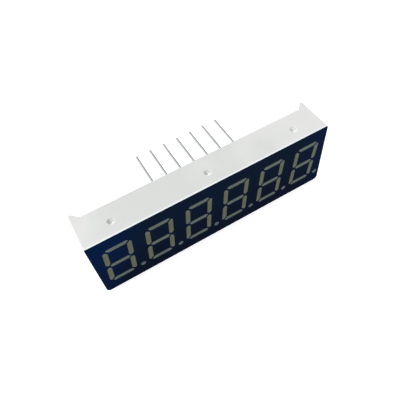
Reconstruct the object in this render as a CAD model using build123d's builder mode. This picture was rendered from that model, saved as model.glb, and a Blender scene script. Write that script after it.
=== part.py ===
from build123d import *
import os
from math import radians, sqrt, tan

# Six-digit seven segment display, with two rows of pins
# All sizes are in millimetres. X runs along the display from the first digit to the last,
# Z runs up the digits, and Y runs from the face to the tips of the pins. The origin is the
# centre of the pin pattern, in the seating plane where the feet meet the user's board.

# Digits and their decimal points
digit_count = 6
digit_pitch = 7.0
digit_shift = -0.1
character_height = 9.14
character_width = 4.75
segment_width = 0.8
mitre_gap = 0.35
corner_cut = 0.8
slant_angle = 4.8
point_diameter = 0.9

# Pins
pin_pitch = 2.54
pins_per_row = 7
row_spacing = 10.16
pin_diameter = 0.5
pin_reach = 6.4
pin_tip_chamfer = 0.12
root_side = 0.6
root_standout = 0.1

# Housing, the white moulding
end_margin = 0.6
pin_edge_distance = 1.92
body_depth = 5.8
side_wall = 1.0
end_wall = 0.6
upper_corner_radius = 0.2
lower_corner_radius = 0.75
recess_corner_radius = 0.3
cavity_draft = 1.5

# Feet at the four corners
foot_height = 1.1
foot_end = 0.5
foot_side = 1.4
foot_slope = 45

# Round marks along the upper side
mark_count = 3
mark_diameter = 1.1
mark_depth = 0.3
mark_draft = 12
mark_spacing = 16.4
mark_setback = 2.6

# What the housing carries
film_thickness = 0.15
film_inset = 0.06
board_thickness = 1.0
board_clearance = 0.1
filling_thickness = 1.1
filling_setback = 0.15
chip_side = 0.3
chip_height = 0.15

# Overall sizes
body_length = digit_count * digit_pitch + 2 * end_margin
body_height = row_spacing + 2 * pin_edge_distance

# Levels along Y, from the pins' side to the face
rim_y = -foot_height
filling_y = rim_y - filling_setback
root_end_y = filling_y + root_standout
board_back_y = filling_y - filling_thickness
board_y = board_back_y - board_thickness
front_y = rim_y - body_depth
shoulder_y = front_y + film_thickness
cavity_depth = board_y - front_y
front_plane = Plane.XZ.offset(-front_y)
board_plane = Plane.XZ.offset(-board_y)

# Outlines of a digit's seven segments, upright and centred on the digit
half_width = segment_width / 2
column = (character_width - segment_width) / 2
row = (character_height - segment_width) / 2
gap = mitre_gap / sqrt(2)
bar_end = [
    (column - half_width - gap, row - half_width),
    (column + half_width - (corner_cut + gap) / 2, row + half_width - (corner_cut - gap) / 2),
    (column + half_width - corner_cut, row + half_width),
]
middle_end = [
    (column - half_width - gap, -half_width),
    (column - gap, 0),
    (column - half_width - gap, half_width),
]
upright = [
    (column + half_width, row + half_width - corner_cut),
    (column + half_width - (corner_cut - gap) / 2, row + half_width - (corner_cut + gap) / 2),
    (column - half_width, row - half_width - gap),
    (column - half_width, half_width + gap),
    (column, gap),
    (column + half_width, half_width + gap),
]


def mirrored(points, across, up):
    """The points turned over across the digit (-1), up the digit (-1) or both."""
    return [(across * u, up * w) for u, w in points]


top_bar = bar_end + mirrored(bar_end, -1, 1)[::-1]
segment_outlines = {
    "a": top_bar,
    "b": upright,
    "c": mirrored(upright, 1, -1),
    "d": mirrored(top_bar, 1, -1),
    "e": mirrored(upright, -1, -1),
    "f": mirrored(upright, -1, 1),
    "g": middle_end + mirrored(middle_end, -1, 1)[::-1],
}
segment_centres = {
    "a": (0, row),
    "b": (column, row / 2),
    "c": (column, -row / 2),
    "d": (0, -row),
    "e": (-column, -row / 2),
    "f": (-column, row / 2),
    "g": (0, 0),
}
digits = range(digit_count)


def digit_centre(digit):
    """Place of a digit's centre along X."""
    return (digit - (digit_count - 1) / 2) * digit_pitch + digit_shift


def slanted(digit, points):
    """The points moved to a digit of the display and leaned over with it."""
    lean = tan(radians(slant_angle))
    return [(digit_centre(digit) + u + w * lean, w) for u, w in points]


def point_centre(digit):
    """Place of a digit's decimal point, midway to the next digit at its lowest segment."""
    return slanted(digit, [(digit_pitch / 2, -row)])[0]


def chip_places(digit):
    """Places of a digit's eight chips, one behind each window."""
    return slanted(digit, segment_centres.values()) + [point_centre(digit)]


def pin_places(side):
    """Places of the pins in the upper row (side 1) or the lower row (side -1)."""
    first = -(pins_per_row - 1) / 2
    return [((first + pin) * pin_pitch, side * row_spacing / 2) for pin in range(pins_per_row)]


def cut_root_holes():
    """Cuts the holes for the pins' roots from the open sketch."""
    with Locations(*pin_places(1), *pin_places(-1)):
        Rectangle(root_side, root_side, mode=Mode.SUBTRACT)


def cut_chip_pockets(places):
    """Cuts the room of the chips that stand on the board from the open part."""
    with BuildSketch(board_plane) as pockets:
        with Locations(*places):
            Rectangle(chip_side, chip_side)
    extrude(pockets.sketch, amount=chip_height, mode=Mode.SUBTRACT)


def finish(name, built):
    """Labels a finished piece and writes it."""
    built.part.label = name
    export_step(built.part, f"parts/{name}.step")


os.makedirs("parts", exist_ok=True)

# Resin casting of each segment and point, flush with the face and narrowing to its chip
castings = []
for digit in digits:
    chips_here = chip_places(digit)
    for letter, chip in zip(segment_outlines, chips_here):
        with BuildPart() as segment:
            with BuildSketch(front_plane):
                with BuildLine():
                    Polyline(*slanted(digit, segment_outlines[letter]), close=True)
                make_face()
            extrude(amount=-cavity_depth)
            draft(segment.faces().filter_by(Axis.Y, reverse=True), front_plane, -cavity_draft)
            castings.append(segment.part)
            cut_chip_pockets([chip])
        finish(f"digit_{digit + 1}_segment_{letter}", segment)
    with BuildPart() as point:
        with BuildSketch(front_plane):
            with Locations(point_centre(digit)):
                Circle(point_diameter / 2)
        extrude(amount=-cavity_depth)
        castings.append(point.part)
        cut_chip_pockets(chips_here[-1:])
    finish(f"digit_{digit + 1}_decimal_point", point)

# Housing: the reflector plate with a cavity for each casting, the walls and the feet
with BuildPart() as housing:
    with BuildSketch(Plane.XZ.offset(-shoulder_y)):
        Rectangle(body_length, body_height)
    extrude(amount=shoulder_y - rim_y)

    # Each foot has an arm along the long wall and an arm along the end wall
    foot_run = foot_height / tan(radians(foot_slope))
    long_sides = [Plane.XY.offset(body_height / 2), Plane.XY.offset(side_wall - body_height / 2)]
    with BuildSketch(*long_sides):
        with BuildLine():
            Polyline(
                (body_length / 2, rim_y),
                (body_length / 2, 0),
                (body_length / 2 - foot_end, 0),
                (body_length / 2 - foot_end - foot_run, rim_y),
                close=True,
            )
        make_face()
        mirror(about=Plane.YZ)
    extrude(amount=-side_wall)
    end_sides = [Plane.YZ.offset(body_length / 2), Plane.YZ.offset(end_wall - body_length / 2)]
    with BuildSketch(*end_sides):
        with BuildLine():
            Polyline(
                (rim_y, body_height / 2),
                (0, body_height / 2),
                (0, body_height / 2 - foot_side),
                (rim_y, body_height / 2 - foot_side - foot_run),
                close=True,
            )
        make_face()
        mirror(about=Plane.XZ)
    extrude(amount=-end_wall)

    # Rounded corners, larger on the lower side
    corners = housing.edges().filter_by(Axis.Y).group_by(SortBy.LENGTH)[-1]
    fillet(corners.group_by(Axis.Z)[0], lower_corner_radius)
    corners = housing.edges().filter_by(Axis.Y).group_by(SortBy.LENGTH)[-1]
    fillet(corners.group_by(Axis.Z)[-1], upper_corner_radius)

    # Recess for the board and the back filling
    with BuildSketch(Plane.XZ):
        RectangleRounded(body_length - 2 * end_wall, body_height - 2 * side_wall, recess_corner_radius)
    extrude(amount=-board_y, mode=Mode.SUBTRACT)

    # Cavities, open to the face and to the board
    add(castings, mode=Mode.SUBTRACT)

    # Shallow round marks along the upper side
    with BuildSketch(Plane.XY.offset(body_height / 2)):
        with Locations((0, front_y + mark_setback)):
            with GridLocations(mark_spacing, 1, mark_count, 1):
                Circle(mark_diameter / 2)
    extrude(amount=-mark_depth, taper=mark_draft, mode=Mode.SUBTRACT)
finish("housing", housing)

# Face film, with a window round each casting
with BuildPart() as face_film:
    with BuildSketch(front_plane) as face:
        Rectangle(body_length - 2 * film_inset, body_height - 2 * film_inset)
        fillet(face.vertices().group_by(Axis.Y)[0], lower_corner_radius - film_inset)
        fillet(face.vertices().group_by(Axis.Y)[-1], upper_corner_radius - film_inset)
    extrude(amount=-film_thickness)
    add(castings, mode=Mode.SUBTRACT)
finish("face_film", face_film)

# Light emitting chips on the front of the board, eight for each digit
for digit in digits:
    with BuildPart() as chips:
        with BuildSketch(board_plane):
            with Locations(*chip_places(digit)):
                Rectangle(chip_side, chip_side)
        extrude(amount=chip_height)
    finish(f"digit_{digit + 1}_chips", chips)

# Circuit board, in the recess behind the reflector plate
with BuildPart() as circuit_board:
    with BuildSketch(Plane.XZ.offset(-board_back_y)):
        RectangleRounded(
            body_length - 2 * (end_wall + board_clearance),
            body_height - 2 * (side_wall + board_clearance),
            recess_corner_radius,
        )
        cut_root_holes()
    extrude(amount=board_thickness)
finish("circuit_board", circuit_board)

# Back filling, poured over the board and round the roots of the pins
with BuildPart() as back_filling:
    with BuildSketch(Plane.XZ.offset(-filling_y)):
        RectangleRounded(body_length - 2 * end_wall, body_height - 2 * side_wall, recess_corner_radius)
        cut_root_holes()
    extrude(amount=filling_thickness)
finish("back_filling", back_filling)

# Round pins of each row, on square roots that pass through the filling and the board
for name, side in (("upper", 1), ("lower", -1)):
    with BuildPart() as pins:
        with BuildSketch(board_plane):
            with Locations(*pin_places(side)):
                Rectangle(root_side, root_side)
        extrude(amount=board_y - root_end_y)
        with BuildSketch(Plane.XZ.offset(-root_end_y)):
            with Locations(*pin_places(side)):
                Circle(pin_diameter / 2)
        extrude(amount=root_end_y - pin_reach)
        chamfer(pins.edges().group_by(Axis.Y)[-1], pin_tip_chamfer)
    finish(f"{name}_row_pins", pins)
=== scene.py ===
"""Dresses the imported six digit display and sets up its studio.

Sizes are in millimetres, in the part's own frame: X along the digits, Y from the face to the
tips of the pins and Z up the digits. The origin is where the feet meet the user's board.
"""

import logging
from dataclasses import dataclass, field
from enum import Enum, IntEnum
from math import radians, sqrt, tan, tau
from typing import Callable, Iterable, Sequence, Union

import bmesh
import bpy
from mathutils import Matrix, Vector


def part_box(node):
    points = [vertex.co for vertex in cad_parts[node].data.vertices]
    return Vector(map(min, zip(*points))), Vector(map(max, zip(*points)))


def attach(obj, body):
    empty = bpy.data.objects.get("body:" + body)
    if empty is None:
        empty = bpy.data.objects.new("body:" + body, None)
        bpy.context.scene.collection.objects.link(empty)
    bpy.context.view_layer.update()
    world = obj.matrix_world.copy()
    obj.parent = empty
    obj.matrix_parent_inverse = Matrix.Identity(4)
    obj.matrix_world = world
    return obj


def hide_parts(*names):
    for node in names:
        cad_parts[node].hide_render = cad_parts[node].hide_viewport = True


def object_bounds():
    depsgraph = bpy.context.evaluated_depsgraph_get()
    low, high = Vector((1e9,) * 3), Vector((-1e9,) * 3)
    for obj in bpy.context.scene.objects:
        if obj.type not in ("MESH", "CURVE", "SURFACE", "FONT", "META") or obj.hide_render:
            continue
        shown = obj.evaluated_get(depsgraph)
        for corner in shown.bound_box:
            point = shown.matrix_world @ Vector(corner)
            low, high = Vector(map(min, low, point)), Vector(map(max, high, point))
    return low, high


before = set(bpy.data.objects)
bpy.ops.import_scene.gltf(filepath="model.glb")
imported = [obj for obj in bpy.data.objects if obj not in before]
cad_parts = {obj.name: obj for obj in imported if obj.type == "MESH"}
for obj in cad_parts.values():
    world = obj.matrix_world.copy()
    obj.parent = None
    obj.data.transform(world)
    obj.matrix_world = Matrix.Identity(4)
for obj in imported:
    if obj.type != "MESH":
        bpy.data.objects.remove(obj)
cad_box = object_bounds()

log = logging.getLogger("display")

MM = 0.001
BODY = "root"

# Tests of a mesh: lengths in millimetres, angles in degrees, and the share of a unit normal
SAME_POINT = 0.0001
NEAR = 0.01
SAME_FACE_ANGLE = 0.5
SHARP_ANGLE = 30
FACING = 0.99

Socket = bpy.types.NodeSocket
Feed = Union[float, int, Sequence[float], Socket]
Colour = tuple[float, float, float, float]
Point = tuple[float, float, float]
Spot = tuple[float, float]
Span = tuple[float, float]
EdgeTest = Callable[[bmesh.types.BMEdge], bool]


def tint(red: int, green: int, blue: int) -> Colour:
    """Turns a colour as a screen shows it into the linear colour that a shader takes.

    Args:
        red: Red, from 0 to 255.
        green: Green, from 0 to 255.
        blue: Blue, from 0 to 255.

    Returns:
        The linear colour, opaque.
    """
    shares = (red / 255, green / 255, blue / 255)
    linear = [s / 12.92 if s <= 0.04045 else ((s + 0.055) / 1.055) ** 2.4 for s in shares]
    return (*linear, 1.0)


class Grain(Enum):
    """How fine a mottled pattern is, as the width of its blots in millimetres."""

    POWDER = 0.06
    PEEL = 0.35
    CLOUD = 0.9
    DRIFT = 6.0


class Stroke(Enum):
    """Which way a window of the face runs."""

    UPRIGHT = "upright"
    LEVEL = "level"
    POINT = "point"


class Axis(IntEnum):
    """A direction that a level is measured in, as its place in a vector."""

    DEEP = 1
    UP = 2


# ---- trees of nodes ----


class Weave:
    """A tree of nodes that is put together one node at a time."""

    def __init__(self, tree: bpy.types.NodeTree) -> None:
        """Starts with a tree.

        Args:
            tree: The tree that the nodes go into.
        """
        self.tree = tree

    def feed(self, target: Socket, value: Feed) -> None:
        """Links a socket into another, or sets its value.

        Args:
            target: The input socket.
            value: A number, a vector, a colour or an output socket.
        """
        if isinstance(value, bpy.types.NodeSocket):
            self.tree.links.new(value, target)
        else:
            target.default_value = value

    def add(
        self, kind: str, inputs: dict[str | int, Feed] | None = None, **settings: object
    ) -> bpy.types.Node:
        """Adds a node.

        Args:
            kind: The node's type name.
            inputs: Values or sockets for its inputs, by name or number.
            settings: The node's own properties.

        Returns:
            The new node.
        """
        node = self.tree.nodes.new(kind)
        for name, value in settings.items():
            setattr(node, name, value)
        for key, value in (inputs or {}).items():
            self.feed(node.inputs[key], value)
        return node

    def sum(self, operation: str, *values: Feed) -> Socket:
        """Works out one step of arithmetic.

        Args:
            operation: The step, such as ADD or MULTIPLY.
            values: Its numbers or sockets.

        Returns:
            The result's socket.
        """
        return self.add("ShaderNodeMath", dict(enumerate(values)), operation=operation).outputs[0]

    def split(self, vector: Socket) -> tuple[Socket, Socket, Socket]:
        """Takes a vector apart.

        Args:
            vector: The vector's socket.

        Returns:
            Its X, Y and Z.
        """
        parts = self.add("ShaderNodeSeparateXYZ", {0: vector}).outputs
        return parts[0], parts[1], parts[2]

    def join(self, x: Feed, y: Feed, z: Feed) -> Socket:
        """Puts a vector together.

        Args:
            x: Its X.
            y: Its Y.
            z: Its Z.

        Returns:
            The vector's socket.
        """
        return self.add("ShaderNodeCombineXYZ", {0: x, 1: y, 2: z}).outputs[0]


class Finish(Weave):
    """A material with one Principled shader, whose patterns read Object coordinates in millimetres."""

    def __init__(self, name: str, **constants: Feed) -> None:
        """Makes the material.

        Args:
            name: The material's name.
            constants: Values for the shader's own sockets, with _ for each space of their names.
        """
        self.material = bpy.data.materials.new(name)
        self.material.use_nodes = True
        super().__init__(self.material.node_tree)
        self.shader = self.tree.nodes["Principled BSDF"]
        for socket, value in constants.items():
            self.shader.inputs[socket.replace("_", " ")].default_value = value
        metres = self.add("ShaderNodeTexCoord").outputs["Object"]
        scaled = self.add("ShaderNodeVectorMath", {0: metres, 3: 1 / MM}, operation="SCALE")
        self.place = scaled.outputs[0]

    def mottle(self, grain: Grain, detail: float = 2.0, stretch: Sequence[float] = (1, 1, 1)) -> Socket:
        """Makes a soft random pattern.

        Args:
            grain: How fine it is.
            detail: How many finer layers lie over it.
            stretch: How much tighter it is along each axis.

        Returns:
            The pattern, from about 0 to 1.
        """
        laid = self.add("ShaderNodeVectorMath", {0: self.place, 1: stretch}, operation="MULTIPLY")
        inputs = {"Vector": laid.outputs[0], "Scale": 1 / grain.value, "Detail": detail}
        return self.add("ShaderNodeTexNoise", inputs).outputs[0]

    def ramp(
        self, value: Socket, low: float, high: float, out_low: float = 0, out_high: float = 1
    ) -> Socket:
        """Maps a range smoothly onto another and holds it at its ends.

        Args:
            value: The number to map.
            low: Where the range starts.
            high: Where the range ends.
            out_low: The result at its start.
            out_high: The result at its end.

        Returns:
            The mapped number.
        """
        inputs = {0: value, 1: low, 2: high, 3: out_low, 4: out_high}
        return self.add("ShaderNodeMapRange", inputs, interpolation_type="SMOOTHSTEP").outputs[0]

    def blend(self, share: Feed, first: Feed, second: Feed) -> Socket:
        """Mixes two colours.

        Args:
            share: The second colour's share.
            first: The first colour.
            second: The second colour.

        Returns:
            The mixed colour.
        """
        node = self.add("ShaderNodeMix", data_type="RGBA")
        for slot, value in ((0, share), (6, first), (7, second)):
            self.feed(node.inputs[slot], value)
        return node.outputs[2]

    def paint(self, socket: str, value: Socket) -> None:
        """Feeds a pattern to the shader.

        Args:
            socket: The shader's input.
            value: The pattern's socket.
        """
        self.feed(self.shader.inputs[socket], value)

    def roughen(self, height: Socket, depth: float) -> None:
        """Bends the shading by a height.

        Args:
            height: The height's socket, from 0 to 1.
            depth: What 1 stands for, in millimetres.
        """
        bump = self.add("ShaderNodeBump", {"Height": height, "Distance": depth * MM, "Strength": 1.0})
        self.paint("Normal", bump.outputs[0])


class Growth(Weave):
    """A Geometry Nodes tree with named inputs, whose sizes are in millimetres."""

    def __init__(self, name: str, sizes: dict[str, float | int]) -> None:
        """Makes the tree with its inputs.

        Args:
            name: The tree's name.
            sizes: Each input's name and value; a whole number makes a whole number input.
        """
        super().__init__(bpy.data.node_groups.new(name, "GeometryNodeTree"))
        self.sizes = sizes
        face = self.tree.interface
        face.new_socket("Material", in_out="INPUT", socket_type="NodeSocketMaterial")
        for label, value in sizes.items():
            kind = "NodeSocketInt" if isinstance(value, int) else "NodeSocketFloat"
            face.new_socket(label, in_out="INPUT", socket_type=kind)
        face.new_socket("Mesh", in_out="OUTPUT", socket_type="NodeSocketGeometry")
        self.given = self.add("NodeGroupInput").outputs

    def mesh(
        self, kind: str, inputs: dict[str | int, Feed], output: str | int = 0, **settings: object
    ) -> Socket:
        """Adds a node and gives one of its outputs.

        Args:
            kind: The node's type name.
            inputs: Values or sockets for its inputs.
            output: The output that is wanted.
            settings: The node's own properties.

        Returns:
            That output's socket.
        """
        return self.add(kind, inputs, **settings).outputs[output]

    def gather(self, *meshes: Socket) -> Socket:
        """Joins meshes.

        Args:
            meshes: Their sockets.

        Returns:
            The joined mesh.
        """
        node = self.add("GeometryNodeJoinGeometry")
        for mesh in meshes:
            self.tree.links.new(mesh, node.inputs[0])
        return node.outputs[0]

    def position(self) -> tuple[Socket, Socket, Socket]:
        """Gives the X, Y and Z of each point of the mesh that is worked on."""
        return self.split(self.mesh("GeometryNodeInputPosition", {}))

    def prism(self, sides: int, rings: int) -> Socket:
        """Makes a closed prism of radius 1 and length 1 round the Z axis.

        Args:
            sides: How many sides it has.
            rings: How many rings of faces lie along it.

        Returns:
            The prism's mesh.
        """
        inputs = {"Vertices": sides, "Side Segments": rings, "Radius": 1.0, "Depth": 1.0}
        return self.mesh("GeometryNodeMeshCylinder", inputs, "Mesh", fill_type="NGON")

    def lay(self, prism: Socket, along: Socket, radius: Socket) -> Socket:
        """Lays a prism along the part's Y.

        Args:
            prism: The prism's mesh.
            along: Each point's place along Y.
            radius: What each point's distance from the axis is multiplied by.

        Returns:
            The laid mesh.
        """
        x, y, _ = self.position()
        across = self.sum("MULTIPLY", self.sum("MULTIPLY", x, -1), radius)
        placed = self.join(across, along, self.sum("MULTIPLY", y, radius))
        return self.mesh("GeometryNodeSetPosition", {0: prism, "Position": placed})

    def spots(self, height: Socket) -> Socket:
        """Puts a point at each pin of a row, as the inputs Pitch and Count say.

        Args:
            height: The row's height.

        Returns:
            The points.
        """
        pitch, count = self.given["Pitch"], self.given["Count"]
        first = self.sum("MULTIPLY", pitch, self.sum("MULTIPLY_ADD", count, -0.5, 0.5))
        start, step = self.join(first, 0, height), self.join(pitch, 0, 0)
        inputs = {"Count": count, "Start Location": start, "Offset": step}
        return self.mesh("GeometryNodeMeshLine", inputs, mode="OFFSET")

    def close(self, mesh: Socket, crease: float = 35) -> None:
        """Ends the tree: real meshes, soft shading with sharp creases, and the material.

        Args:
            mesh: The finished mesh.
            crease: The angle past which an edge stays sharp, in degrees.
        """
        real = self.mesh("GeometryNodeRealizeInstances", {0: mesh})
        soft = self.mesh("GeometryNodeSetShadeSmooth", {0: real, "Shade Smooth": True})
        angle = self.mesh("GeometryNodeInputMeshEdgeAngle", {})
        sharp = self.mesh("FunctionNodeCompare", {0: angle, 1: radians(crease)}, operation="GREATER_THAN")
        edges = {0: soft, "Selection": sharp, "Shade Smooth": False}
        creased = self.mesh("GeometryNodeSetShadeSmooth", edges, domain="EDGE")
        dressed = self.mesh("GeometryNodeSetMaterial", {0: creased, "Material": self.given["Material"]})
        self.add("NodeGroupOutput", {0: dressed})

    def grow(self, name: str, material: bpy.types.Material, **changes: float | int) -> bpy.types.Object:
        """Runs the tree once and keeps its plain mesh, in metres.

        Args:
            name: The new piece's name.
            material: Its finish.
            changes: Inputs that differ from the tree's own values, with _ for each space of their names.

        Returns:
            The piece, at the origin.
        """
        carrier = bpy.data.objects.new(f"{name}_carrier", bpy.data.meshes.new(f"{name}_seed"))
        bpy.context.scene.collection.objects.link(carrier)
        modifier = carrier.modifiers.new("growth", "NODES")
        modifier.node_group = self.tree
        values = self.sizes | {key.replace("_", " "): value for key, value in changes.items()}
        for item in self.tree.interface.items_tree:
            if item.in_out == "INPUT":
                modifier[item.identifier] = material if item.name == "Material" else values[item.name]
        grown = carrier.evaluated_get(bpy.context.evaluated_depsgraph_get())
        mesh = bpy.data.meshes.new_from_object(grown)
        bpy.data.objects.remove(carrier)
        mesh.name = name
        mesh.transform(Matrix.Scale(MM, 4))
        piece = bpy.data.objects.new(name, mesh)
        bpy.context.scene.collection.objects.link(piece)
        return piece


# ---- finishes ----


@dataclass(frozen=True)
class Patch:
    """A round patch in each of the moulding's marks, where a highlight or a shade is painted.

    It has its full share up to the start of its reach and none past the end, and it shows
    only above its level.
    """

    shade: Colour
    middle: Spot
    reach: Span
    share: float
    level: Span


@dataclass(frozen=True)
class WhiteMoulding:
    """Satin white plastic with a fine orange peel, paler at its ends, with a painted highlight along its
    front rim.

    Each round mark has a faint painted highlight round its lip, a painted glint in front and a painted
    shade behind.
    """

    # Tone along the housing, paler towards its ends and dullest a little left of its middle
    pale_tone: Colour = tint(218, 219, 217)
    dull_tone: Colour = tint(207, 209, 206)
    half_length: float = 21.6
    dullest: float = -6.0
    paler_ends: float = 0.45
    drift_reach: Span = (-0.1, 0.45)
    # Painted highlight along the front rim, whose colour the painted highlights round the lips of the
    # marks share
    rim_highlight: Colour = tint(240, 246, 252)
    rim_highlight_reach: Span = (-6.75, -6.35)
    rim_highlight_share: float = 0.85
    mark_pitch: float = 16.4
    # Painted highlight round the lip of each mark
    lip_highlight_middle: Spot = (0.05, -4.4)
    lip_highlight_inner: Span = (0.42, 0.52)
    lip_highlight_outer: Span = (0.56, 0.68)
    lip_highlight_share: float = 0.4
    lip_highlight_level: Span = (6.4, 6.6)
    # Painted glint in the front of each mark's hollow
    painted_glint: Patch = Patch(
        shade=tint(252, 252, 246), middle=(0.2, -4.58), reach=(0.16, 0.34), share=1.0, level=(6.4, 6.6)
    )
    # Painted shade in the back of each mark's hollow
    recess_shade: Patch = Patch(
        shade=tint(150, 151, 145), middle=(-0.16, -4.12), reach=(0.2, 0.4), share=0.46, level=(5.9, 6.1)
    )
    roughness: float = 0.45
    gloss: float = 0.35
    peel_detail: float = 3.0
    peel_depth: float = 0.003

    def round_mark(self, finish: Finish, middle: Spot) -> Socket:
        """Measures how far a point is from the nearest round mark, seen from above.

        Args:
            finish: The material being made.
            middle: The middle mark's centre, in X and Y.

        Returns:
            The distance in millimetres.
        """
        x, y, _ = finish.split(finish.place)
        across = finish.sum("PINGPONG", finish.sum("SUBTRACT", x, middle[0]), self.mark_pitch / 2)
        flat = finish.join(across, finish.sum("SUBTRACT", y, middle[1]), 0)
        return finish.add("ShaderNodeVectorMath", {0: flat}, operation="LENGTH").outputs["Value"]

    def lip(self, finish: Finish) -> Socket:
        """Works out the share of the painted highlight round each mark's lip.

        Args:
            finish: The material being made.

        Returns:
            The share.
        """
        height = finish.split(finish.place)[2]
        distance = self.round_mark(finish, self.lip_highlight_middle)
        inner = finish.ramp(distance, *self.lip_highlight_inner)
        outer = finish.ramp(distance, *self.lip_highlight_outer, self.lip_highlight_share, 0)
        ring = finish.sum("MULTIPLY", inner, outer)
        return finish.sum("MULTIPLY", ring, finish.ramp(height, *self.lip_highlight_level))

    def patch(self, finish: Finish, patch: Patch) -> Socket:
        """Works out a patch's share in each mark.

        Args:
            finish: The material being made.
            patch: The patch.

        Returns:
            The share.
        """
        height = finish.split(finish.place)[2]
        spread = finish.ramp(self.round_mark(finish, patch.middle), *patch.reach, patch.share, 0)
        return finish.sum("MULTIPLY", spread, finish.ramp(height, *patch.level))

    def build(self) -> bpy.types.Material:
        """Makes the material.

        Returns:
            The material.
        """
        finish = Finish("housing_plastic", Roughness=self.roughness, Specular_IOR_Level=self.gloss)
        x, y, _ = finish.split(finish.place)
        aside = finish.sum("ABSOLUTE", finish.sum("SUBTRACT", x, self.dullest))
        outward = finish.sum("DIVIDE", aside, self.half_length)
        paler = finish.sum("MULTIPLY", outward, self.paler_ends)
        drift = finish.sum("SUBTRACT", finish.mottle(Grain.DRIFT), paler)
        body = finish.blend(finish.ramp(drift, *self.drift_reach), self.pale_tone, self.dull_tone)
        # Painted highlight along the front rim and round the lip of each mark
        front = finish.ramp(y, *self.rim_highlight_reach, self.rim_highlight_share, 0)
        body = finish.blend(finish.sum("MAXIMUM", front, self.lip(finish)), body, self.rim_highlight)
        # A painted glint in front of each mark's hollow and a painted shade behind it
        for patch in (self.painted_glint, self.recess_shade):
            body = finish.blend(self.patch(finish, patch), body, patch.shade)
        finish.paint("Base Color", body)
        finish.roughen(finish.mottle(Grain.PEEL, self.peel_detail), self.peel_depth)
        return finish.material


@dataclass(frozen=True)
class NavyPrintAndReflection:
    """Navy ink on a matt film, with painted reflection: bluer towards its ends and deeper towards its
    lower side.

    The blue of the first end fades along a leaning line, and the blue of the last is partial.
    """

    blue_high: Colour = tint(0, 21, 54)
    blue_low: Colour = tint(0, 16, 47)
    grey_high: Colour = tint(5, 19, 38)
    grey_low: Colour = tint(4, 13, 32)
    first_reach: Span = (-20.5, -13.2)
    first_slope: float = 0.4
    last_reach: Span = (15.5, 21.5)
    last_share: float = 0.38
    unevenness: float = 0.3
    rise_reach: Span = (-6.5, 6.5)
    roughness: float = 0.5
    gloss: float = 0.005
    grain_depth: float = 0.0012

    def build(self) -> bpy.types.Material:
        """Makes the material.

        Returns:
            The material.
        """
        finish = Finish("face_navy", Roughness=self.roughness, Specular_IOR_Level=self.gloss)
        x, _, z = finish.split(finish.place)
        # Painted reflection: bluer towards the ends, the first fading along a leaning line
        slanted = finish.sum("MULTIPLY_ADD", z, -self.first_slope, x)
        first = finish.ramp(slanted, *self.first_reach)
        last = finish.ramp(x, *self.last_reach, 1, self.last_share)
        mottled = finish.mottle(Grain.DRIFT)
        uneven = finish.sum("MULTIPLY_ADD", mottled, self.unevenness, -self.unevenness / 2)
        share = finish.sum("MULTIPLY_ADD", first, last, uneven)
        # Painted reflection: lighter towards the upper side
        high = finish.blend(share, self.blue_high, self.grey_high)
        low = finish.blend(share, self.blue_low, self.grey_low)
        finish.paint("Base Color", finish.blend(finish.ramp(z, *self.rise_reach), low, high))
        finish.roughen(finish.mottle(Grain.POWDER), self.grain_depth)
        return finish.material


@dataclass(frozen=True)
class CloudedResin:
    """Cast resin over a dark chip: its middle shows the chip's tone, and its ends the white cavity's."""

    stroke: Stroke
    middle: Colour
    ends: Colour
    digit_pitch: float
    digit_shift: float
    lean: float
    row: float
    column: float
    cloud_detail: float = 3.0
    cloud_share: float = 0.35
    cloud_reach: Span = (0.3, 0.7)
    ends_reach: Span = (0.45, 0.95)
    roughness: float = 0.32
    gloss: float = 0.06
    skin_depth: float = 0.002

    def from_middle(self, finish: Finish) -> Socket:
        """Works out how far a point is from the middle of its window, as a share of its half length.

        Args:
            finish: The material being made.

        Returns:
            0 at the window's middle and 1 at its ends.
        """
        x, _, z = finish.split(finish.place)
        if self.stroke is Stroke.UPRIGHT:
            rise = finish.sum("SUBTRACT", finish.sum("ABSOLUTE", z), self.row / 2)
            return finish.sum("DIVIDE", finish.sum("ABSOLUTE", rise), self.row / 2)
        upright = finish.sum("SUBTRACT", x, finish.sum("MULTIPLY", z, self.lean))
        moved = finish.sum("SUBTRACT", upright, self.digit_shift)
        digit = finish.sum("PINGPONG", moved, self.digit_pitch / 2)
        return finish.sum("DIVIDE", finish.sum("SUBTRACT", self.digit_pitch / 2, digit), self.column)

    def build(self) -> bpy.types.Material:
        """Makes the material.

        Returns:
            The material.
        """
        name = f"segment_resin_{self.stroke.value}"
        finish = Finish(name, Roughness=self.roughness, Specular_IOR_Level=self.gloss)
        cloud = finish.mottle(Grain.CLOUD, self.cloud_detail)
        if self.stroke is Stroke.POINT:
            share = finish.ramp(cloud, *self.cloud_reach)
        else:
            shifted = finish.sum("MULTIPLY_ADD", cloud, self.cloud_share, -self.cloud_share / 2)
            share = finish.ramp(finish.sum("ADD", self.from_middle(finish), shifted), *self.ends_reach)
        finish.paint("Base Color", finish.blend(share, self.middle, self.ends))
        finish.roughen(finish.mottle(Grain.PEEL), self.skin_depth)
        return finish.material


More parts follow.
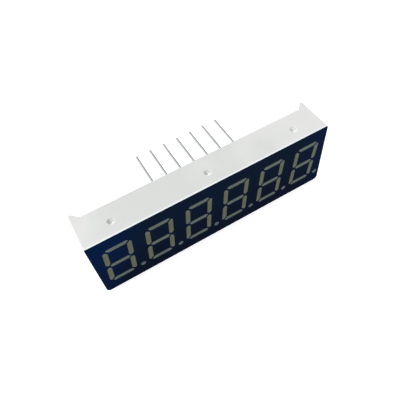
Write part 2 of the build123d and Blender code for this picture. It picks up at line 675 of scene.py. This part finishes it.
@dataclass(frozen=True)
class TinnedWire:
    """Bright tinned wire with fine draw lines along it, and its tip painted dull as shade."""

    bright: Colour = tint(222, 226, 228)
    dull_and_shade: Colour = tint(120, 118, 112)
    shaded_tip_reach: Span = (6.22, 6.36)
    line_stretch: Point = (9, 0.25, 9)
    line_reach: Span = (0.3, 0.7)
    line_share: float = 0.2
    line_depth: float = 0.003
    smoothest: float = 0.08
    roughening: float = 0.14

    def build(self) -> bpy.types.Material:
        """Makes the material.

        Returns:
            The material.
        """
        finish = Finish("tinned_wire", Metallic=1.0)
        # Painted shade: the tip of each wire is painted dull
        shaded_tip = finish.ramp(finish.split(finish.place)[1], *self.shaded_tip_reach)
        lines = finish.mottle(Grain.PEEL, stretch=self.line_stretch)
        dulled = finish.ramp(lines, *self.line_reach, 0, self.line_share)
        toned = finish.blend(dulled, self.bright, self.dull_and_shade)
        finish.paint("Base Color", finish.blend(shaded_tip, toned, self.dull_and_shade))
        finish.paint("Roughness", finish.sum("MULTIPLY_ADD", lines, self.roughening, self.smoothest))
        finish.roughen(lines, self.line_depth)
        return finish.material


@dataclass(frozen=True)
class PouredResin:
    """Milky resin poured over the board, with a few specks and a smooth skin."""

    pale: Colour = tint(208, 208, 198)
    deep: Colour = tint(196, 195, 181)
    drift_detail: float = 3.0
    drift_reach: Span = (0.35, 0.65)
    speck: Colour = tint(150, 144, 126)
    speck_reach: Span = (0.79, 0.83)
    speck_share: float = 0.6
    roughness: float = 0.24
    gloss: float = 0.5
    skin_depth: float = 0.01

    def build(self) -> bpy.types.Material:
        """Makes the material.

        Returns:
            The material.
        """
        finish = Finish("filling_resin", Roughness=self.roughness, Specular_IOR_Level=self.gloss)
        drift = finish.ramp(finish.mottle(Grain.DRIFT, self.drift_detail), *self.drift_reach)
        body = finish.blend(drift, self.pale, self.deep)
        specks = finish.ramp(finish.mottle(Grain.PEEL, 0.0), *self.speck_reach, 0, self.speck_share)
        finish.paint("Base Color", finish.blend(specks, body, self.speck))
        finish.roughen(finish.mottle(Grain.CLOUD), self.skin_depth)
        return finish.material


@dataclass(frozen=True)
class GlassLaminate:
    """Pale glass cloth in resin, with the cloth's threads showing both ways."""

    resin: Colour = tint(172, 170, 112)
    thread: Colour = tint(198, 194, 142)
    thread_pitch: float = 0.45
    thread_share: Span = (0.1, 0.9)
    thread_depth: float = 0.01
    roughness: float = 0.4

    def build(self) -> bpy.types.Material:
        """Makes the material.

        Returns:
            The material.
        """
        finish = Finish("board_laminate", Roughness=self.roughness)
        x, _, z = finish.split(finish.place)
        turns = [finish.sum("MULTIPLY", side, tau / self.thread_pitch) for side in (x, z)]
        woven = finish.sum("MULTIPLY", *(finish.sum("SINE", turn) for turn in turns))
        share = finish.ramp(woven, -1, 1, *self.thread_share)
        finish.paint("Base Color", finish.blend(share, self.resin, self.thread))
        finish.roughen(share, self.thread_depth)
        return finish.material


@dataclass(frozen=True)
class ChipCrystal:
    """Dark gold crystal with a lighter, rough sawn side."""

    top: Colour = tint(150, 138, 70)
    sawn: Colour = tint(110, 104, 72)
    sawn_reach: Span = (0.35, 0.65)
    sawn_depth: float = 0.002
    roughness: float = 0.3

    def build(self) -> bpy.types.Material:
        """Makes the material.

        Returns:
            The material.
        """
        finish = Finish("chip_crystal", Roughness=self.roughness)
        share = finish.ramp(finish.mottle(Grain.POWDER, 1.0), *self.sawn_reach)
        finish.paint("Base Color", finish.blend(share, self.top, self.sawn))
        finish.roughen(share, self.sawn_depth)
        return finish.material


@dataclass(frozen=True)
class StudioPaper:
    """Pale paper under the display, which doesn't hide it from below."""

    shade: Colour = tint(250, 250, 250)
    mottled: Colour = tint(246, 246, 246)
    lift: float = 0.5
    roughness: float = 0.9

    def build(self) -> bpy.types.Material:
        """Makes the material.

        Returns:
            The material.
        """
        finish = Finish(
            "studio_paper", Roughness=self.roughness,
            Emission_Color=self.shade, Emission_Strength=self.lift,
        )
        finish.paint("Base Color", finish.blend(finish.mottle(Grain.DRIFT), self.shade, self.mottled))
        underside = finish.add("ShaderNodeNewGeometry").outputs["Backfacing"]
        clear = finish.add("ShaderNodeBsdfTransparent").outputs[0]
        seen = finish.add("ShaderNodeMixShader", {0: underside, 1: finish.shader.outputs[0], 2: clear})
        finish.feed(finish.tree.nodes["Material Output"].inputs["Surface"], seen.outputs[0])
        return finish.material


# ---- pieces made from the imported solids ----


def solid_copy(node: str) -> bmesh.types.BMesh:
    """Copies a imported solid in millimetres, with its triangles merged into whole faces.

    Args:
        node: The solid's name.

    Returns:
        The mesh, ready for work.
    """
    work = bmesh.new()
    work.from_mesh(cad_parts[node].data)
    bmesh.ops.scale(work, vec=(1 / MM,) * 3, verts=work.verts)
    bmesh.ops.remove_doubles(work, verts=work.verts, dist=SAME_POINT)
    bmesh.ops.dissolve_limit(
        work, angle_limit=radians(SAME_FACE_ANGLE), verts=work.verts, edges=work.edges
    )
    bmesh.ops.recalc_face_normals(work, faces=work.faces)
    return work


def lies_at(edge: bmesh.types.BMEdge, axis: Axis, level: float) -> bool:
    """Tells whether both ends of an edge lie at a level.

    Args:
        edge: The edge.
        axis: The direction that the level is measured in.
        level: The level, in millimetres.

    Returns:
        True where they do.
    """
    return all(abs(vertex.co[axis] - level) < NEAR for vertex in edge.verts)


def soften(work: bmesh.types.BMesh, chosen: EdgeTest, width: float, steps: int) -> None:
    """Rounds the sharp edges that a test picks.

    Args:
        work: The mesh.
        chosen: The test.
        width: How far the rounding reaches, in millimetres.
        steps: How many faces it has across.
    """
    sharp = [e for e in work.edges if e.is_manifold and e.calc_face_angle() > radians(SHARP_ANGLE)]
    bmesh.ops.bevel(
        work, geom=[edge for edge in sharp if chosen(edge)], offset=width, offset_type="OFFSET",
        segments=steps, profile=0.5, affect="EDGES", clamp_overlap=True, miter_outer="ARC",
    )


def settle(
    work: bmesh.types.BMesh, name: str, material: bpy.types.Material, crease: float = 28
) -> bpy.types.Object:
    """Turns a worked mesh into a piece, in metres.

    Args:
        work: The mesh, in millimetres.
        name: The piece's name.
        material: Its finish.
        crease: The angle past which an edge stays sharp, in degrees.

    Returns:
        The piece, at the origin.
    """
    bmesh.ops.scale(work, vec=(MM,) * 3, verts=work.verts)
    for face in work.faces:
        face.smooth = True
    for edge in work.edges:
        edge.smooth = edge.is_manifold and edge.calc_face_angle() < radians(crease)
    mesh = bpy.data.meshes.new(name)
    work.to_mesh(mesh)
    work.free()
    mesh.materials.append(material)
    piece = bpy.data.objects.new(name, mesh)
    bpy.context.scene.collection.objects.link(piece)
    flatten = piece.modifiers.new("flat_faces_stay_flat", "WEIGHTED_NORMAL")
    flatten.keep_sharp = True
    flatten.weight = 100
    return piece


def seat(piece: bpy.types.Object, nodes: Iterable[str]) -> None:
    """Ties a piece to the body and the solids that it stands for.

    Args:
        piece: The piece.
        nodes: The solids.
    """
    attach(piece, BODY)
    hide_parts(*nodes)
    log.info("%s: %d faces", piece.name, len(piece.data.polygons))


def millimetres(node: str) -> tuple[Vector, Vector]:
    """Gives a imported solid's lowest and highest corners in millimetres."""
    low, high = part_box(node)
    return low / MM, high / MM


@dataclass
class Housing:
    """The white moulding, with every outer edge softened as a mould leaves it."""

    front_softness: float = 0.05
    rear_softness: float = 0.07
    rear_start: float = -1.5
    steps: int = 2
    corner_reach: float = 0.8
    mark_softness: float = 0.11
    mark_steps: int = 3
    mark_reach: Span = (-5.0, -3.5)
    mark_depth: float = 0.3
    mark_dish: tuple[Span, ...] = ((0.07, 0.06), (0.1, 0.05), (0.12, 0.03))

    def on_outline(self, edge: bmesh.types.BMEdge, low: Vector, high: Vector) -> bool:
        """Tells whether an edge lies on the outline of the moulding, seen from the face.

        Args:
            edge: The edge.
            low: The moulding's lowest corner.
            high: Its highest corner.

        Returns:
            True where both ends are on a side or in the reach of a rounded corner.
        """
        for x, _, z in (vertex.co for vertex in edge.verts):
            to_end = min(abs(x - low.x), abs(x - high.x))
            to_side = min(abs(z - low.z), abs(z - high.z))
            if min(to_end, to_side) >= NEAR and max(to_end, to_side) >= self.corner_reach:
                return False
        return True

    def ease_edges(self, work: bmesh.types.BMesh, low: Vector, high: Vector) -> None:
        """Rounds the front edge, the lips of the marks and the edges of the feet.

        Args:
            work: The moulding's mesh.
            low: Its lowest corner.
            high: Its highest corner.
        """

        def front(edge: bmesh.types.BMEdge) -> bool:
            """Picks the outer edge of the front."""
            return lies_at(edge, Axis.DEEP, low.y) and self.on_outline(edge, low, high)

        def lip(edge: bmesh.types.BMEdge) -> bool:
            """Picks the lips of the marks."""
            first, last = self.mark_reach
            return lies_at(edge, Axis.UP, high.z) and first < edge.verts[0].co.y < last

        def rear(edge: bmesh.types.BMEdge) -> bool:
            """Picks the edges of the feet and between them."""
            return all(vertex.co.y > self.rear_start for vertex in edge.verts)

        soften(work, front, self.front_softness, self.steps)
        soften(work, lip, self.mark_softness, self.mark_steps)
        soften(work, rear, self.rear_softness, self.steps)

    def dish_marks(self, work: bmesh.types.BMesh, floor: float) -> None:
        """Hollows the floors of the marks.

        Args:
            work: The moulding's mesh.
            floor: The height of their floors.
        """
        upward = [face for face in work.faces if face.normal.z > FACING]
        floors = [face for face in upward if abs(face.calc_center_median().z - floor) < NEAR]
        for width, drop in self.mark_dish:
            bmesh.ops.inset_individual(
                work, faces=floors, thickness=width, depth=-drop, use_even_offset=True
            )

    def build(self) -> None:
        """Makes the moulding from its solid."""
        work = solid_copy("housing")
        low, high = millimetres("housing")
        self.ease_edges(work, low, high)
        self.dish_marks(work, high.z - self.mark_depth)
        piece = settle(work, "housing_moulding", WhiteMoulding().build())
        seat(piece, ["housing"])


@dataclass
class FaceFilm:
    """The navy film, with the rims of its windows and its outline eased."""

    softness: float = 0.025
    flush: float = 0.001

    def build(self) -> None:
        """Makes the film from its solid."""
        work = solid_copy("face_film")
        front = millimetres("face_film")[0].y
        bmesh.ops.inset_region(
            work, faces=[face for face in work.faces if face.normal.y < -FACING],
            thickness=self.softness, use_even_offset=True, use_boundary=True,
        )
        wall = front + 2 * self.softness
        for vertex in work.verts:
            ends = [edge.other_vert(vertex) for edge in vertex.link_edges]
            if abs(vertex.co.y - front) < self.flush and any(end.co.y > wall for end in ends):
                vertex.co.y += self.softness
        seat(settle(work, "face_print", NavyPrintAndReflection().build()), ["face_film"])


@dataclass
class Castings:
    """The resin in each window, flush with the face and drawn in a little at its rim as it cured."""

    digit_count: int = 6
    digit_pitch: float = 7.0
    digit_shift: float = -0.1
    slant_angle: float = 4.8
    character_height: float = 9.14
    character_width: float = 4.75
    segment_width: float = 0.8
    rim_width: float = 0.03
    rim_steps: int = 2
    crease: float = 40
    strokes: dict[Stroke, str] = field(default_factory=lambda: {
        Stroke.UPRIGHT: "bcef",
        Stroke.LEVEL: "adg",
    })
    tones: dict[Stroke, tuple[Colour, Colour]] = field(default_factory=lambda: {
        Stroke.UPRIGHT: (tint(78, 83, 63), tint(86, 92, 87)),
        Stroke.LEVEL: (tint(77, 87, 79), tint(82, 92, 95)),
        Stroke.POINT: (tint(66, 79, 81), tint(73, 84, 89)),
    })

    def finishes(self) -> dict[Stroke, bpy.types.Material]:
        """Makes the resin's material for each way that a window runs.

        Returns:
            The materials.
        """
        layout = {
            "digit_pitch": self.digit_pitch,
            "digit_shift": self.digit_shift,
            "lean": tan(radians(self.slant_angle)),
            "row": (self.character_height - self.segment_width) / 2,
            "column": (self.character_width - self.segment_width) / 2,
        }
        resins = [CloudedResin(stroke, *tones, **layout) for stroke, tones in self.tones.items()]
        return {resin.stroke: resin.build() for resin in resins}

    def cast(self, node: str, material: bpy.types.Material) -> None:
        """Makes one casting from its solid, with the rim of its skin drawn in.

        Args:
            node: The solid's name.
            material: Its finish.
        """
        work = solid_copy(node)
        front = millimetres(node)[0].y
        soften(work, lambda edge: lies_at(edge, Axis.DEEP, front), self.rim_width, self.rim_steps)
        seat(settle(work, f"{node}_resin", material, self.crease), [node])

    def build(self) -> None:
        """Makes every casting."""
        finishes = self.finishes()
        for digit in range(1, self.digit_count + 1):
            for stroke, letters in self.strokes.items():
                for letter in letters:
                    self.cast(f"digit_{digit}_segment_{letter}", finishes[stroke])
            self.cast(f"digit_{digit}_decimal_point", finishes[Stroke.POINT])


@dataclass
class PinRows:
    """Two rows of tinned wires on square roots."""

    pitch: float = 2.54
    count: int = 7
    radius: float = 0.25
    tip_round: float = 0.12
    wire_sides: int = 24
    wire_rings: int = 24
    tip_crowding: float = 3.0
    root_shoulder: float = 0.05
    root_half: float = 0.3
    root_end: float = -1.15

    def wire(self, rule: Growth) -> Socket:
        """Makes a wire, whose rings crowd towards its rounded tip.

        Args:
            rule: The row's tree.

        Returns:
            The wire's mesh.
        """
        given = rule.given
        left = rule.sum("SUBTRACT", 0.5, rule.position()[2])
        eased = rule.sum("SUBTRACT", 1, rule.sum("POWER", left, self.tip_crowding))
        length = rule.sum("SUBTRACT", given["Reach"], given["Root end"])
        along = rule.sum("MULTIPLY_ADD", eased, length, given["Root end"])
        round_start = rule.sum("SUBTRACT", given["Reach"], given["Tip round"])
        past = rule.sum("MAXIMUM", rule.sum("SUBTRACT", along, round_start), 0)
        tip_square, past_square = (rule.sum("POWER", side, 2) for side in (given["Tip round"], past))
        squares = rule.sum("SUBTRACT", tip_square, past_square)
        inner = rule.sum("SUBTRACT", given["Radius"], given["Tip round"])
        reach = rule.sum("ADD", inner, rule.sum("SQRT", rule.sum("MAXIMUM", squares, 0)))
        return rule.lay(rule.prism(self.wire_sides, self.wire_rings), along, reach)

    def root(self, rule: Growth) -> Socket:
        """Makes a square root with an eased shoulder.

        Args:
            rule: The row's tree.

        Returns:
            The root's mesh.
        """
        given = rule.given
        turned = {0: rule.prism(4, 2), "Rotation": (0, 0, radians(45))}
        # The prism's corners lie at heights of -0.5, 0 and 0.5: its foot, its shoulder and its top
        height = rule.position()[2]
        top = rule.sum("GREATER_THAN", height, 0.25)
        foot = rule.sum("LESS_THAN", height, -0.25)
        lowered = rule.sum("MULTIPLY", given["Shoulder"], rule.sum("SUBTRACT", 1, top))
        base = rule.sum("SUBTRACT", given["Root end"], lowered)
        straight = rule.sum("SUBTRACT", given["Root end"], given["Shoulder"])
        depth = rule.sum("SUBTRACT", straight, given["Root start"])
        level = rule.sum("SUBTRACT", base, rule.sum("MULTIPLY", depth, foot))
        half = rule.sum("SUBTRACT", given["Root half"], rule.sum("MULTIPLY", given["Shoulder"], top))
        block = rule.mesh("GeometryNodeTransform", turned)
        return rule.lay(block, level, rule.sum("MULTIPLY", half, sqrt(2)))

    def tree(self) -> Growth:
        """Makes the tree of one row.

        Returns:
            The tree.
        """
        low, high = millimetres("upper_row_pins")
        rule = Growth("pin_row", {
            "Pitch": self.pitch, "Count": self.count, "Row height": 0.0, "Radius": self.radius,
            "Tip round": self.tip_round, "Shoulder": self.root_shoulder, "Root half": self.root_half,
            "Root start": low.y, "Root end": self.root_end, "Reach": high.y,
        })
        pin = rule.gather(self.wire(rule), self.root(rule))
        spots = rule.spots(rule.given["Row height"])
        rule.close(rule.mesh("GeometryNodeInstanceOnPoints", {"Points": spots, "Instance": pin}))
        return rule

    def build(self) -> None:
        """Makes both rows."""
        rule = self.tree()
        metal = TinnedWire().build()
        for side in ("upper", "lower"):
            low, high = millimetres(f"{side}_row_pins")
            piece = rule.grow(f"{side}_row_wires", metal, Row_height=(low.z + high.z) / 2)
            seat(piece, [f"{side}_row_pins"])


@dataclass
class Filling:
    """The poured resin behind the board, which climbs a little at the walls and at each pin."""

    cell: float = 0.2
    sink: float = 0.08
    climb: float = 0.35
    pitch: float = 2.54
    count: int = 7
    row_height: float = 5.08
    root_half: float = 0.3
    crease: float = 50

    def drop(self, rule: Growth) -> Socket:
        """Works out how far the skin sinks, which fades towards the walls and the pins.

        Args:
            rule: The filling's tree.

        Returns:
            The move along Y.
        """
        given = rule.given
        x, _, z = rule.position()
        rows = [rule.spots(rule.sum("MULTIPLY", given["Row height"], side)) for side in (1, -1)]
        near = rule.add("GeometryNodeProximity", target_element="POINTS")
        rule.feed(near.inputs[0], rule.gather(*rows))
        rule.feed(near.inputs["Sample Position"], rule.join(x, 0, z))
        to_pin = rule.sum("SUBTRACT", near.outputs["Distance"], given["Root half"])
        to_end, to_side = (
            rule.sum("SUBTRACT", rule.sum("MULTIPLY", size, 0.5), rule.sum("ABSOLUTE", place))
            for size, place in ((given["Length"], x), (given["Width"], z))
        )
        least = rule.sum("MINIMUM", to_pin, rule.sum("MINIMUM", to_end, to_side))
        nearest = rule.sum("MAXIMUM", least, 0)
        scaled = rule.sum("DIVIDE", nearest, given["Climb"])
        fade = rule.sum("EXPONENT", rule.sum("MULTIPLY", scaled, -1))
        return rule.sum("MULTIPLY", rule.sum("SUBTRACT", fade, 1), given["Sink"])

    def tree(self) -> Growth:
        """Makes the filling's tree: a grid, thickened, whose upper skin then sinks.

        Returns:
            The tree.
        """
        low, high = millimetres("back_filling")
        size = high - low
        rule = Growth("poured_skin", {
            "Length": size.x, "Width": size.z, "Thickness": size.y, "Base": low.y,
            "Columns": round(size.x / self.cell) + 1, "Rows": round(size.z / self.cell) + 1,
            "Sink": self.sink, "Climb": self.climb, "Pitch": self.pitch, "Count": self.count,
            "Row height": self.row_height, "Root half": self.root_half,
        })
        given = rule.given
        sheet = rule.mesh("GeometryNodeMeshGrid", {
            "Size X": given["Length"], "Size Y": given["Width"],
            "Vertices X": given["Columns"], "Vertices Y": given["Rows"],
        })
        x, y, _ = rule.position()
        placed = rule.join(x, given["Base"], rule.sum("MULTIPLY", y, -1))
        sheet = rule.mesh("GeometryNodeSetPosition", {0: sheet, "Position": placed})
        raised = rule.add("GeometryNodeExtrudeMesh", {
            0: sheet, "Offset": (0, 1, 0), "Offset Scale": given["Thickness"], "Individual": False,
        }, mode="FACES").outputs
        skin = rule.mesh("GeometryNodeSetPosition", {
            0: raised["Mesh"], "Selection": raised["Top"], "Offset": rule.join(0, self.drop(rule), 0),
        })
        under = rule.mesh("GeometryNodeFlipFaces", {0: sheet})
        whole = {0: rule.gather(skin, under), "Distance": SAME_POINT}
        rule.close(rule.mesh("GeometryNodeMergeByDistance", whole), self.crease)
        return rule

    def build(self) -> None:
        """Makes the filling."""
        seat(self.tree().grow("back_resin", PouredResin().build()), ["back_filling"])


@dataclass
class Inside:
    """The board and the chips, which keep the shape of their solids."""

    board: str = "circuit_board"
    chips_ending: str = "_chips"

    def build(self) -> None:
        """Dresses the solids."""
        laminate, crystal = GlassLaminate().build(), ChipCrystal().build()
        for node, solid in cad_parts.items():
            if node == self.board or node.endswith(self.chips_ending):
                solid.data.materials.clear()
                solid.data.materials.append(laminate if node == self.board else crystal)
                log.info("%s: dressed", node)


# ---- the studio ----


@dataclass
class Studio:
    """A pale floor, one soft lamp above on the left, a bright room and the photograph's camera."""

    # Floor and lamp, in metres and watts, with the floor's gap under the part in millimetres
    floor_half: float = 1.5
    floor_gap: float = 0.02
    lamp_place: Point = (-0.24, 0.11, 0.5)
    lamp_side: float = 0.3
    lamp_power: float = 1.1
    # Room: its light away from the dark patch and on it, the way to the patch, and its edge
    room_light: Span = (0.93, 0.1)
    dark_wall: Point = (0.553, 0.543, 0.633)
    dark_wall_edge: Span = (0.885, 0.965)
    # Camera: its lens in pixels of the picture, its place, and its own axes
    focal_pixels: float = 436.381
    centre: Spot = (202.329, 186.043)
    image_side: int = 400
    sensor: float = 36.0
    nearest_seen: float = 1.0
    place: Point = (-18.611, -41.812, 60.024)
    right: Point = (0.86174, -0.50278, -0.06797)
    down: Point = (-0.44041, -0.6748, -0.59219)
    forward: Point = (0.25187, 0.54024, -0.80293)

    def floor(self) -> None:
        """Lays the floor under the long lower side."""
        level = cad_box[0][2] - self.floor_gap * MM
        sides = ((-1, -1), (1, -1), (1, 1), (-1, 1))
        mesh = bpy.data.meshes.new("floor")
        corners = [(x * self.floor_half, y * self.floor_half, level) for x, y in sides]
        mesh.from_pydata(corners, [], [(0, 1, 2, 3)])
        mesh.materials.append(StudioPaper().build())
        floor = bpy.data.objects.new("floor", mesh)
        bpy.context.scene.collection.objects.link(floor)

    def lamp(self) -> None:
        """Hangs a square soft light that faces the display."""
        data = bpy.data.lights.new("key_above", "AREA")
        data.shape = "SQUARE"
        data.size = self.lamp_side
        data.energy = self.lamp_power
        lamp = bpy.data.objects.new("key_above", data)
        lamp.location = self.lamp_place
        lamp.rotation_euler = Vector(self.lamp_place).to_track_quat("Z", "Y").to_euler()
        bpy.context.scene.collection.objects.link(lamp)

    def surroundings(self) -> None:
        """Lights the room evenly but for one dark patch, which the wires mirror.

        The camera sees the room as plain white, and colours are kept as they are.
        """
        world = bpy.data.worlds.new("studio_room")
        world.use_nodes = True
        room = Weave(world.node_tree)
        toward = room.add("ShaderNodeTexCoord").outputs["Generated"]
        near = room.add("ShaderNodeVectorMath", {0: toward, 1: self.dark_wall}, operation="DOT_PRODUCT")
        span = (near.outputs["Value"], *self.dark_wall_edge, *self.room_light)
        walls = room.add("ShaderNodeMapRange", dict(enumerate(span))).outputs[0]
        seen = room.add("ShaderNodeLightPath").outputs["Is Camera Ray"]
        backdrop = world.node_tree.nodes["Background"]
        backdrop.inputs["Color"].default_value = (1, 1, 1, 1)
        room.feed(backdrop.inputs["Strength"], room.sum("MAXIMUM", walls, seen))
        bpy.context.scene.world = world
        bpy.context.scene.view_settings.view_transform = "Standard"

    def camera(self) -> None:
        """Sets the camera where the photograph was taken from."""
        data = bpy.data.cameras.new("camera")
        data.sensor_width = self.sensor
        data.lens = self.focal_pixels / self.image_side * self.sensor
        data.shift_x = (self.image_side / 2 - self.centre[0]) / self.image_side
        data.shift_y = (self.centre[1] - self.image_side / 2) / self.image_side
        data.clip_start = self.nearest_seen * MM
        axes = Matrix((self.right, [-v for v in self.down], [-v for v in self.forward])).transposed()
        camera = bpy.data.objects.new("camera", data)
        camera.matrix_world = Matrix.Translation(Vector(self.place) * MM) @ axes.to_4x4()
        bpy.context.scene.collection.objects.link(camera)
        bpy.context.scene.camera = camera

    def build(self) -> None:
        """Sets up the studio."""
        self.floor()
        self.surroundings()
        self.lamp()
        self.camera()
        log.info("studio: set")


def main() -> None:
    """Builds every sub-assembly in order."""
    logging.basicConfig(level=logging.INFO, format="%(name)s: %(message)s")
    for assembly in (Housing(), FaceFilm(), Castings(), Inside(), Filling(), PinRows(), Studio()):
        assembly.build()


if __name__ == "__main__":
    main()
